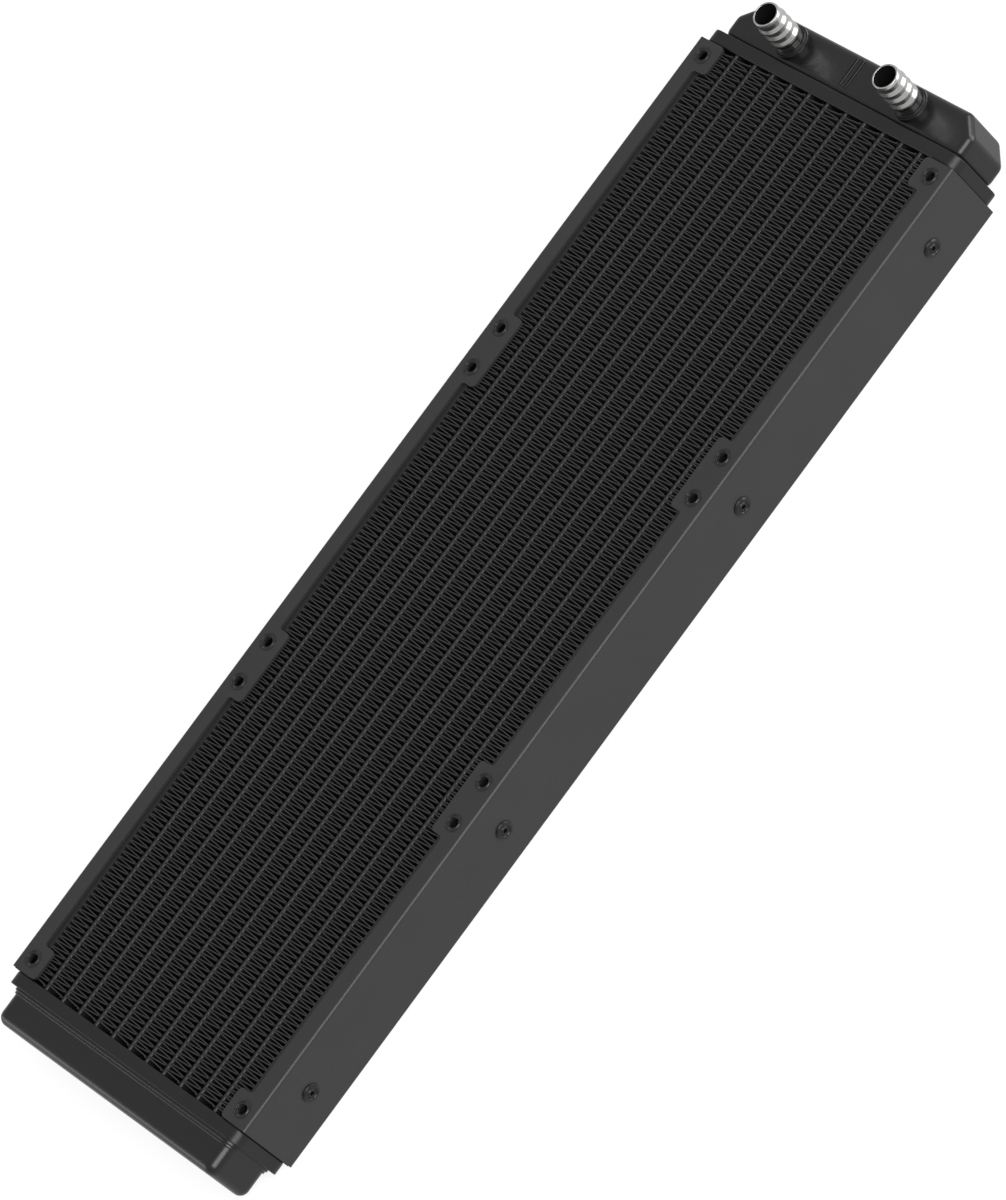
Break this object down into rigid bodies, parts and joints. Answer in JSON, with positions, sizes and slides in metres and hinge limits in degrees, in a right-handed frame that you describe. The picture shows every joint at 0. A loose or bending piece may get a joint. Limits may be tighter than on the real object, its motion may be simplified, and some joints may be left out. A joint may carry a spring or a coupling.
{
  "type": "liquid cooling radiator",
  "caption": "Slim flat-tube radiator for 120 mm fans side by side: folded frame, corrugated fins, two end tanks and a pair of screw-in hose barbs.",
  "frame": {"origin": "centre of the middle fan's screw pattern, in the plane of the back flanges", "axes": "+X towards the tank with the hose barbs, +Y the left side, +Z out of the front, the way the barbs point"},
  "size_m": [0.3906, 0.1186, 0.0419],
  "materials": {
    "frame_black": "satin black powder coat",
    "rivet_black": "satin black coat",
    "header_black": "satin black coat",
    "tank_black": "semi-gloss black coat",
    "tube_black": "black-coated aluminium",
    "fin_black": "black-coated aluminium foil",
    "core_black": "black-coated aluminium",
    "seal_rubber": "matt black rubber",
    "neck_black": "black anodised",
    "barb_nickel": "bright nickel plate"
  },
  "bodies": {
    "root": {"side_frame_left": "frame_black", "side_frame_right": "frame_black", "side_rail_left": "core_black", "side_rail_right": "core_black", "side_rivets_left": "rivet_black", "side_rivets_right": "rivet_black", "header_port": "header_black", "header_return": "header_black", "port_tank": "tank_black", "return_tank": "tank_black", "flow_divider": "core_black", "port_boss_left": "tank_black", "port_boss_right": "tank_black", "flat_tube_01": "tube_black", "flat_tube_02": "tube_black", "flat_tube_03": "tube_black", "flat_tube_04": "tube_black", "flat_tube_05": "tube_black", "flat_tube_06": "tube_black", "flat_tube_07": "tube_black", "flat_tube_08": "tube_black", "flat_tube_09": "tube_black", "flat_tube_10": "tube_black", "flat_tube_11": "tube_black", "fin_row_01": "fin_black", "fin_row_02": "fin_black", "fin_row_03": "fin_black", "fin_row_04": "fin_black", "fin_row_05": "fin_black", "fin_row_06": "fin_black", "fin_row_07": "fin_black", "fin_row_08": "fin_black", "fin_row_09": "fin_black", "fin_row_10": "fin_black", "fin_row_11": "fin_black", "fin_row_12": "fin_black"},
    "seal_left": {"seal_ring_left": "seal_rubber"},
    "fitting_left": {"fitting_neck_left": "neck_black", "hose_barb_left": "barb_nickel"},
    "seal_right": {"seal_ring_right": "seal_rubber"},
    "fitting_right": {"fitting_neck_right": "neck_black", "hose_barb_right": "barb_nickel"}
  },
  "joints": [
    {"name": "fitting_lift_left", "type": "slide", "parent": "root", "child": "seal_left", "axis": [0, 0, 1], "range_m": [0, 0.003]},
    {"name": "fitting_turn_left", "type": "hinge", "parent": "seal_left", "child": "fitting_left", "pos_m": [0.1897, 0.0274, 0.024], "axis": [0, 0, 1], "range_deg": [0, 1080]},
    {"name": "fitting_lift_right", "type": "slide", "parent": "root", "child": "seal_right", "axis": [0, 0, 1], "range_m": [0, 0.003]},
    {"name": "fitting_turn_right", "type": "hinge", "parent": "seal_right", "child": "fitting_right", "pos_m": [0.1897, -0.0274, 0.024], "axis": [0, 0, 1], "range_deg": [0, 1080]}
  ],
  "couplings": [
    {"joint": "fitting_lift_left", "follows": "fitting_turn_left", "m_per_rad": 0.00015915},
    {"joint": "fitting_lift_right", "follows": "fitting_turn_right", "m_per_rad": 0.00015915}
  ]
}
